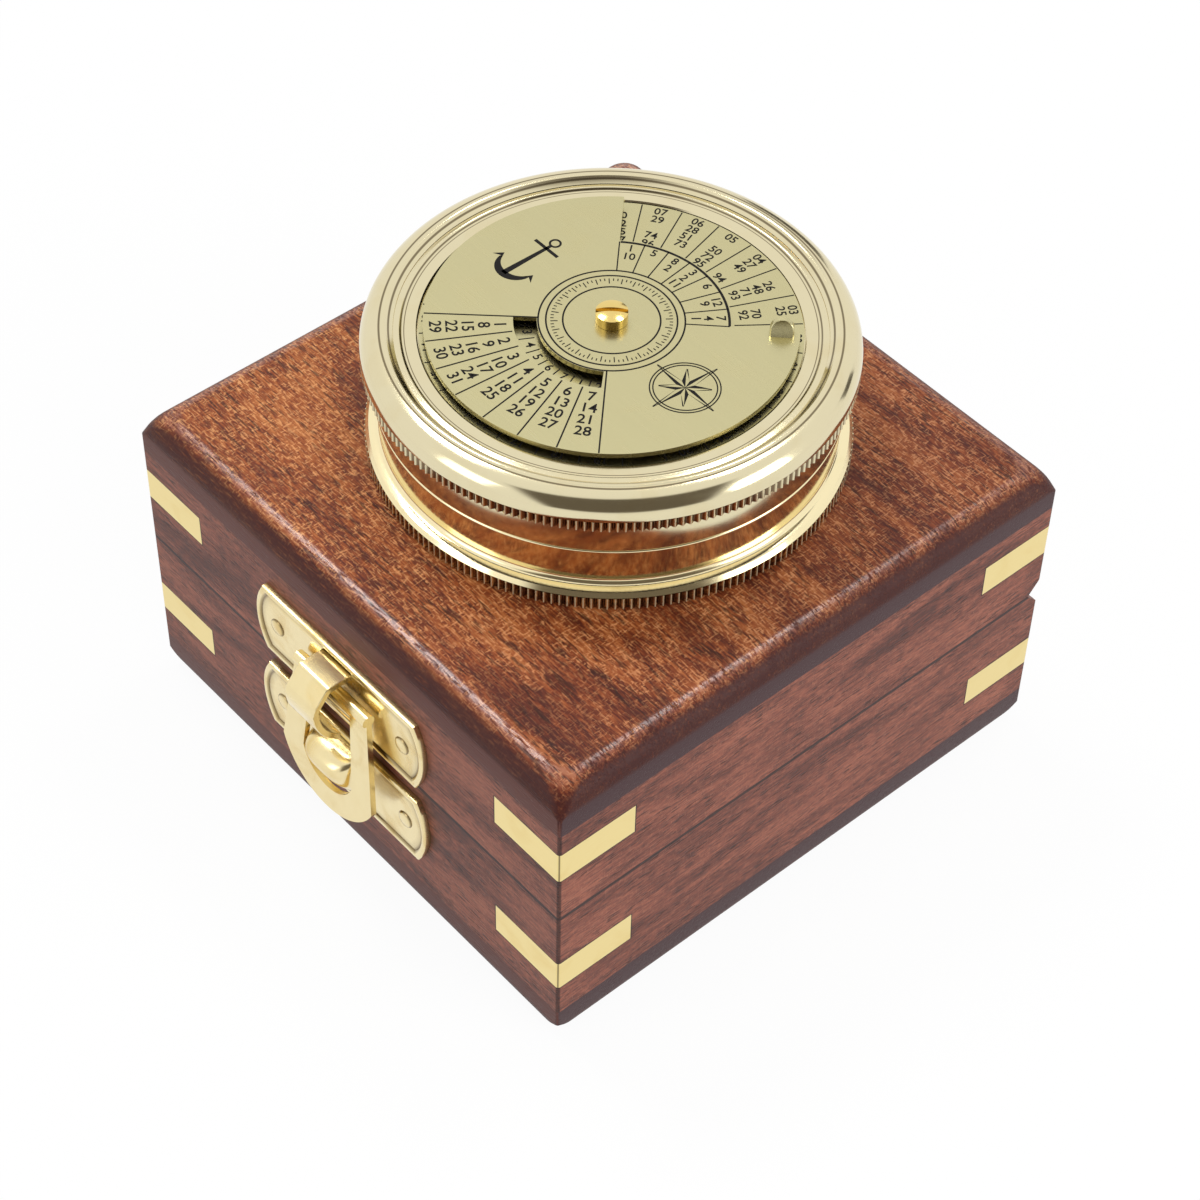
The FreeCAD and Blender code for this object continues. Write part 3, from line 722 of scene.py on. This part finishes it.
# The calendar's round case: a cup and a cap, turned from brass bar and mirror polished,
# each with a knurled ring to grip while the cap is screwed off.
# Radii and half widths of the painted shade lines at the cap's turned steps.
step_shade_lines = ((34.45, 0.22), (33.05, 0.20), (31.25, 0.16), (30.75, 0.10))
turned_finish = {"roughness": 0.12, "stretch": (60, 60, 3000), "wear": 0.08, "relief": 0.0}
# The cup and the cap are one brass. The cap's colour, also on both knurls, is painted darker:
# painted shade standing in for a greyer room in its reflections.
shaded_brass_colour = (0.76, 0.68, 0.45)
cup_colour = (0.93, 0.81, 0.50)
turning_steps = 320


def turned(name, profile):
    """A mesh turned about the calendar's axis. Profile points are (radius, height) in mm,
    in order round the closed section, starting and ending on the axis."""
    work = bmesh.new()
    verts = [work.verts.new((calendar_middle.x + r * mm, calendar_middle.y,
                             calendar_middle.z + z * mm)) for r, z in profile]
    edges = [work.edges.new(pair) for pair in zip(verts, verts[1:])]
    bmesh.ops.spin(work, geom=verts + edges, cent=calendar_middle, axis=(0, 0, 1),
                   angle=2 * math.pi, steps=turning_steps, use_merge=True)
    bmesh.ops.remove_doubles(work, verts=work.verts, dist=0.0005 * mm)
    return meshed(name, work, 24)


flange_radius = 37.4
flange_height = 3.2
knurl_top = 2.4
tooth_depth = 0.5
wall_foot = 35.0
wall_rim = 35.8
cup_height = 10.9
spigot_radius = 33.92
spigot_top = 15.1
cup_bore = 32.42
cup_profile = [(0, 0.5), (32.3, 0.5), (32.5, 0.3), (32.5, 0.1), (32.6, 0), (36.5, 0),
               (36.9, 0.4), (36.9, knurl_top), (flange_radius - 0.2, knurl_top + 0.05),
               (36.7, flange_height - 0.1), (36.0, flange_height + 0.16)]
cup_profile += arc((wall_foot + 1.0, flange_height + 1.16), 1.0, 270, 180, 8)
cup_profile += [(wall_rim, cup_height - 0.35)]
cup_profile += arc((wall_rim - 0.3, cup_height - 0.3), 0.3, 0, 90, 4)
cup_profile += [(spigot_radius, cup_height), (spigot_radius, spigot_top - 0.1),
                (spigot_radius - 0.12, spigot_top), (cup_bore, spigot_top), (cup_bore, 3.0),
                (31.9, 2.5), (0, 2.5)]
cup_brass = brass("cup_brass", cup_colour, **turned_finish)
finished("cup_shell", turned("cup_shell", cup_profile), cup_brass, "calendar_cup",
         "polished_brass", "case_cup")

cap_knurl_radius = 37.5
cap_knurl_low = 16.7
cap_knurl_high = 18.5
roll_radius = 3.6
roll_middle = (cap_knurl_radius - roll_radius, cap_knurl_high + 0.3)
deck_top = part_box("year_disc")[0].z / mm - calendar_middle.z / mm
opening = 28.8
lip_height = 21.3
cap_profile = [(0, deck_top - 1.5), (32.5, deck_top - 1.5), (34.0, deck_top - 3.0),
               (34.0, cup_height), (wall_rim - 0.35, cup_height)]
cap_profile += arc((wall_rim - 0.3, cup_height + 0.3), 0.3, -70, 0, 4)
cap_profile += [(wall_rim - 0.7, cap_knurl_low - 0.2), (wall_rim - 0.5, cap_knurl_low),
                (37.0, cap_knurl_low), (37.0, cap_knurl_high), (37.3, cap_knurl_high + 0.05)]
cap_profile += arc(roll_middle, roll_radius, -2, 84, 22)
cap_profile += arc((33.75, 22.02), 0.48, 50, 140, 8)
cap_profile += arc((32.75, 22.0), 0.55, 230, 270, 3)
cap_profile += arc((31.65, 21.36), 0.30, 60, 150, 5)
cap_profile += [(31.1, lip_height), (opening + 0.2, lip_height), (opening, lip_height - 0.2),
                (opening, deck_top), (0, deck_top)]
cap_brass = brass("cap_brass", shaded_brass_colour, **turned_finish, lines=step_shade_lines)
finished("cap_shell", turned("cap_shell", cap_profile), cap_brass, "calendar_cap",
         "polished_brass", "case_cap")


class Builder(Tree):
    """A Geometry Nodes tree with named sizes as its inputs."""

    def __init__(self, name, **sizes):
        super().__init__(bpy.data.node_groups.new(name, "GeometryNodeTree"))
        self.sizes = sizes
        face = self.tree.interface
        for size, value in sizes.items():
            kind = "NodeSocketInt" if isinstance(value, int) else "NodeSocketFloat"
            face.new_socket(size, in_out="INPUT", socket_type=kind)
        face.new_socket("Geometry", in_out="OUTPUT", socket_type="NodeSocketGeometry")
        self.given = self.tree.nodes.new("NodeGroupInput")

    def size(self, name):
        return Socket(self, self.given.outputs[name])

    def made(self, geometry, material):
        """Ends the tree and returns its result as a plain mesh."""
        real = self.node("GeometryNodeRealizeInstances", {}, {0: geometry})
        end = self.node("GeometryNodeSetMaterial", {}, {"Geometry": real, "Material": material})
        self.feed(self.tree.nodes.new("NodeGroupOutput"), {0: end})
        holder = placed(self.tree.name, bpy.data.meshes.new(self.tree.name))
        modifier = holder.modifiers.new("made", "NODES")
        modifier.node_group = self.tree
        for item in self.tree.interface.items_tree:
            if item.in_out == "INPUT":
                modifier[item.identifier] = self.sizes[item.name]
        return baked(holder)


def knurl(name, teeth, radius, low, high, body):
    """A ring of straight rounded teeth, filled inwards to the shell behind it."""
    build = Builder(name, Teeth=teeth, Tip=radius * mm, Root=(radius - tooth_depth) * mm,
                    Round=0.09 * mm, Low=low * mm, High=high * mm)
    star = build.node("GeometryNodeCurveStar", {},
                      {"Points": build.size("Teeth"), "Inner Radius": build.size("Root"),
                       "Outer Radius": build.size("Tip"), "Twist": 0.0})
    eased = build.node("GeometryNodeFilletCurve", {"mode": "POLY"},
                       {"Curve": star, "Count": 2, "Radius": build.size("Round")})
    face = build.node("GeometryNodeFillCurve", {"mode": "NGONS"}, {"Curve": eased})
    top = build.node("GeometryNodeExtrudeMesh", {"mode": "FACES"},
                     {"Mesh": face, "Offset Scale": build.size("High") - build.size("Low"),
                      "Individual": False})
    under = build.node("GeometryNodeFlipFaces", {}, {0: face})
    solid = build.node("GeometryNodeJoinGeometry", {}, {0: [top, under]})
    closed = build.node("GeometryNodeMergeByDistance", {}, {"Geometry": solid,
                                                            "Distance": 0.001 * mm})
    spot = build.node("ShaderNodeCombineXYZ", {}, {
        "X": calendar_middle.x, "Y": calendar_middle.y,
        "Z": build.size("Low") + calendar_middle.z})
    ring = build.node("GeometryNodeTransform", {}, {"Geometry": closed, "Translation": spot})
    teeth_brass = brass(name + "_brass", shaded_brass_colour, **turned_finish,
                        teeth=(radius * mm, tooth_depth * mm))
    finished(name, build.made(ring, teeth_brass), teeth_brass, body, "polished_brass")


tooth_count = 200
knurl("cup_knurl", tooth_count, flange_radius, 0.3, knurl_top, "calendar_cup")
knurl("cap_knurl", tooth_count, cap_knurl_radius, cap_knurl_low, cap_knurl_high, "calendar_cap")


# The year disc: a flat brass disc under the dial, fixed in the cap. Years and weekdays
# are etched round it in twenty-eight columns and filled with black.
dial_brass = brass("dial_brass", (0.56, 0.51, 0.285), 0.26, (90, 2400, 90), 0.04, 0.001)
dress("year_disc", dial_brass)
dress("dial_plate", dial_brass)
ink = Finish("black_filling", Roughness=0.6, Specular_IOR_Level=0.1)
ink_grain = ink.node("ShaderNodeTexNoise", {}, {"Scale": 2500.0})
ink.feed(ink.surface, {"Base Color": ink.mix((0.006, 0.005, 0.005), (0.018, 0.016, 0.014),
                                             ink_grain)})
ink_height = 0.02 * mm
figure_share = 0.73
figure_weight = 0.018
etched = {}


class Etching:
    """Flat black marks on one disc, placed by radius and angle about the pivot."""

    def __init__(self, top):
        self.work = bmesh.new()
        self.z = top

    def outline(self, points):
        """A filled outline of (x, y) points in mm about the pivot."""
        x0 = calendar_middle.x
        y0 = calendar_middle.y
        low = [self.work.verts.new((x0 + x * mm, y0 + y * mm, self.z)) for x, y in points]
        high = [self.work.verts.new(v.co + Vector((0, 0, ink_height))) for v in low]
        self.work.faces.new(high)
        for i in range(len(points)):
            j = (i + 1) % len(points)
            self.work.faces.new((low[i], low[j], high[j], high[i]))

    def band(self, inner, outer, start, end, steps, middle=(0, 0)):
        """Part of a ring, from one angle to another in degrees."""
        for i in range(steps):
            a, b = (math.radians(start + (end - start) * k / steps) for k in (i, i + 1))
            self.outline([(middle[0] + r * math.cos(t), middle[1] + r * math.sin(t))
                          for r, t in ((inner, a), (outer, a), (outer, b), (inner, b))])

    def spoke(self, inner, outer, degrees, width):
        """A straight line outwards from one radius to another."""
        a = math.radians(degrees)
        c, s = math.cos(a), math.sin(a)
        w = width / 2
        self.outline([(r * c - t * s, r * s + t * c)
                      for r, t in ((inner, -w), (outer, -w), (outer, w), (inner, w))])

    def figure(self, number, radius, degrees, height, outward):
        """A number whose middle is at that radius and angle, reading outward or inward."""
        key = (number, height)
        if key not in etched:
            curve = bpy.data.curves.new("figure", "FONT")
            curve.body = number
            curve.size = height / figure_share * mm
            curve.align_x = "CENTER"
            curve.align_y = "CENTER"
            curve.resolution_u = 3
            curve.offset = figure_weight * height * mm
            curve.extrude = ink_height / 2
            sample = bpy.data.objects.new("figure", curve)
            etched[key] = bpy.data.meshes.new_from_object(sample)
            bpy.data.objects.remove(sample)
        mesh = etched[key].copy()
        a = math.radians(degrees)
        spot = Vector((calendar_middle.x + radius * mm * math.cos(a),
                       calendar_middle.y + radius * mm * math.sin(a), self.z + ink_height / 2))
        turn = a - quarter if outward else a + quarter
        mesh.transform(Matrix.Translation(spot) @ Matrix.Rotation(turn, 4, "Z"))
        self.work.from_mesh(mesh)
        bpy.data.meshes.remove(mesh)

    def done(self, name, body):
        mesh = bpy.data.meshes.new(name)
        self.work.to_mesh(mesh)
        self.work.free()
        finished(name, mesh, ink.material, body, "dial_brass")


year_columns = 28
column_turn = 360 / year_columns
column_zero = 20.05
year_rows = (27.45, 25.6, 23.7, 21.8, 19.9)
year_size = 1.52
year_line = (18.3, 28.55)
day_radius = 12.6
day_size = 1.5
day_line = (11.6, 14.0)
line_width = 0.20
year_marks = Etching(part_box("year_disc")[1].z)
for year in range(100):
    row, column = divmod(year + year // 4, year_columns)
    year_marks.figure("%02d" % year, year_rows[row], column_zero + column * column_turn,
                      year_size, True)
for column in range(year_columns):
    year_marks.spoke(*year_line, column_zero + (column + 0.5) * column_turn, line_width)
    day_angle = column_zero + (column + 0.6) * column_turn
    year_marks.figure(str((column - 14) % 7 + 1), day_radius, day_angle, day_size, False)
    year_marks.spoke(*day_line, day_angle + column_turn / 2, line_width)
year_marks.done("year_figures", "calendar_cap")


# The dial: a thin brass plate that turns on the pivot screw over the year disc, with a
# window on the years, a slot on the weekdays and a bent-up ear to turn it by.
dial_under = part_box("dial_plate")[0].z
dial_thickness = 0.8 * mm
dial_marks = Etching(dial_under + dial_thickness)
hub_rings = (10.9, 9.75, 7.25)
hub_ticks = 84
for radius in hub_rings:
    dial_marks.band(radius - 0.13, radius + 0.13, 0, 360, 120)
for tick in range(hub_ticks):
    dial_marks.spoke(8.6 if tick % 3 else 8.0, 9.1, 360 * tick / hub_ticks, 0.16)
window_inner = 17.8
window_start = 45.3
window_end = 135
dial_marks.band(window_inner - 0.55, window_inner - 0.15, 45.5, 134.5, 40)
month_columns = ((1, 10), (5,), (8, 2), (3, 2, 11), (6,), (12, 9), (7, 4, 1))
month_rows = (16.15, 14.3, 12.45)
month_size = 1.5
month_turn = 90 / len(month_columns)
for column, months in enumerate(month_columns):
    angle = window_end - (column + 0.5) * month_turn
    for row, month in zip(month_rows, months):
        dial_marks.figure(str(month), row, angle, month_size, True)
    dial_marks.spoke(hub_rings[0], window_inner - 0.3, window_end - column * month_turn,
                     line_width)
dial_marks.spoke(hub_rings[0], window_inner - 0.3, window_start, line_width)
date_rows = (16.6, 19.0, 21.4, 23.8, 26.2)
date_size = 1.88
date_start = 227.1
date_turn = 12.58
for day in range(31):
    row, column = divmod(day, 7)
    dial_marks.figure(str(day + 1), date_rows[row], date_start + (column + 0.5) * date_turn,
                      date_size, False)
for line in range(8):
    dial_marks.spoke(14.9 if line % 7 else hub_rings[0], 27.85, date_start + line * date_turn,
                     0.24)

ear_turn = math.radians(45)
ear_out = Vector((math.cos(ear_turn), math.sin(ear_turn), 0)) * mm
ear_face = Vector((math.sin(ear_turn), -math.cos(ear_turn), 0)) * mm
ear_foot = Vector((calendar_middle.x, calendar_middle.y, dial_under))
ear_middle = 25.2
ear_half = 1.8
ear_tall = 3.4
ear_lean = 1.25
ear_rows = 16
ear_skin = []
for i in range(ear_rows + 1):
    up = ear_tall * i / ear_rows
    over = max(0.0, up - (ear_tall - ear_half))
    half = max(0.12, math.sqrt(ear_half * ear_half - over * over))
    lean = 0.72 + ear_lean * (1 - i / ear_rows) ** 1.3
    section = ((-half, 0.1), (half, 0.1), (half, lean - 0.15), (half * 0.9, lean),
               (-half * 0.9, lean), (-half, lean - 0.15))
    ear_skin.append([ear_foot + (ear_middle + across) * ear_out + depth * ear_face
                     + Vector((0, 0, up * mm)) for across, depth in section])
finished("dial_ear", skinned("dial_ear", ear_skin), dial_brass, "dial", "dial_brass")

anchor_middle = (-18.3, -0.4)
arm_radius = 3.2
arm_middle = -2.2
arm_start = 196
arm_swing = 148
arm_steps = 18


def at_anchor(points):
    """Points of the anchor, about its own middle, as points of the dial."""
    return [(anchor_middle[0] + x, anchor_middle[1] + y) for x, y in points]


shank = ((-0.5, -5.3), (0.5, -5.3), (0.27, 4.0), (-0.27, 4.0))
stock = ((-2.6, 2.95), (2.6, 2.95), (2.6, 3.5), (-2.6, 3.5))
dial_marks.outline(at_anchor(shank))
dial_marks.outline(at_anchor(stock))
dial_marks.band(0.65, 1.0, 0, 360, 20, at_anchor([(0, 5.0)])[0])
for i in range(arm_steps):
    a, b = (math.radians(arm_start + arm_swing * k / arm_steps) for k in (i, i + 1))
    near, far = (0.22 + 0.42 * math.sin(math.pi * k / arm_steps) for k in (i, i + 1))
    dial_marks.outline(at_anchor([((arm_radius + w) * math.cos(t),
                                   arm_middle + (arm_radius + w) * math.sin(t))
                                  for w, t in ((-near, a), (near, a), (far, b), (-far, b))]))
for side in (-1, 1):
    fluke = [(side * 4.4, -3.6), (side * 3.35, -2.2), (side * 2.6, -3.5), (side * 3.3, -3.0)]
    dial_marks.outline(at_anchor(fluke[::side]))

rose_middle = (17.7, -1.3)
rose_points = 8
rose_long = 6.2
rose_short = 3.9
rose_waist = 1.45
rose_line = 0.2


def at_rose(radius, angle):
    """A point of the compass rose by its radius and its angle."""
    return (rose_middle[0] + radius * math.cos(angle),
            rose_middle[1] + radius * math.sin(angle))


for i in range(rose_points):
    a = 2 * math.pi * i / rose_points
    flank = math.pi / rose_points
    tip = at_rose(rose_short if i % 2 else rose_long, a)
    dial_marks.outline([rose_middle, tip, at_rose(rose_waist, a + flank)])
    dial_marks.outline([tip, (tip[0] + 0.22 * math.sin(a), tip[1] - 0.22 * math.cos(a)),
                        at_rose(rose_waist, a - flank)])
for radius in (4.6, 5.1):
    dial_marks.band(radius, radius + rose_line, 0, 360, 48, rose_middle)
dial_marks.done("dial_figures", "dial")


# The velvet: a round pad in the bottom of the pocket and a square one under the lid,
# cut from short-pile cloth over card, so that the brass is not scratched.
velvet = Finish("red_velvet", Roughness=0.9, Sheen_Weight=0.6, Sheen_Roughness=0.4)
pile = velvet.speckle(velvet.place, (5200, 5200, 5200))
brushed = velvet.speckle(velvet.place, (70, 45, 70), 3.0, 1.0)
velvet.feed(velvet.surface, {"Base Color": velvet.mix(
    (0.16, 0.008, 0.016), (0.30, 0.020, 0.035), brushed * 0.7 + pile * 0.3)})
velvet.bump(pile, 0.15 * mm, 0.6)
rolled_edge = ((0.985, 0.0), (1.0, 0.2), (1.0, 0.55), (0.975, 0.82), (0.93, 0.93))


def pad(name, node, body, outline, crown):
    """A soft slab over a CAD pad: its edge is rolled and its top swells by the crown."""
    low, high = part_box(node)
    middle = (low + high) / 2
    swell = tuple((scale, 1.0 - crown * scale * scale) for scale in (0.8, 0.6, 0.4, 0.2))
    rings = []
    for scale, share in rolled_edge + swell:
        rise = share * (high.z - low.z)
        z = high.z - rise if body == "lid" else low.z + rise
        rings.append([(middle.x + x * scale, middle.y + y * scale, z) for x, y in outline])
    mesh = skinned(name, rings, sharp=180)
    finished(name, mesh, velvet.material, body, "velvet", node)


pocket_half = (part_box("pocket_pad")[1].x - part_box("pocket_pad")[0].x) / 2
pocket_steps = 96
pocket_outline = [(pocket_half * math.cos(2 * math.pi * i / pocket_steps),
                   pocket_half * math.sin(2 * math.pi * i / pocket_steps))
                  for i in range(pocket_steps)]
pad("pocket_velvet", "pocket_pad", "case", pocket_outline, 0.08)

lid_half = (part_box("lid_pad")[1].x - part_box("lid_pad")[0].x) / 2
lid_side_steps = 24
lid_outline = []
for x, y in ((1, 1), (-1, 1), (-1, -1), (1, -1)):
    start = Vector((x, y)) * lid_half
    end = Vector((-y, x)) * lid_half
    lid_outline += [tuple(start.lerp(end, i / lid_side_steps)) for i in range(lid_side_steps)]
pad("lid_velvet", "lid_pad", "lid", lid_outline, 0.10)
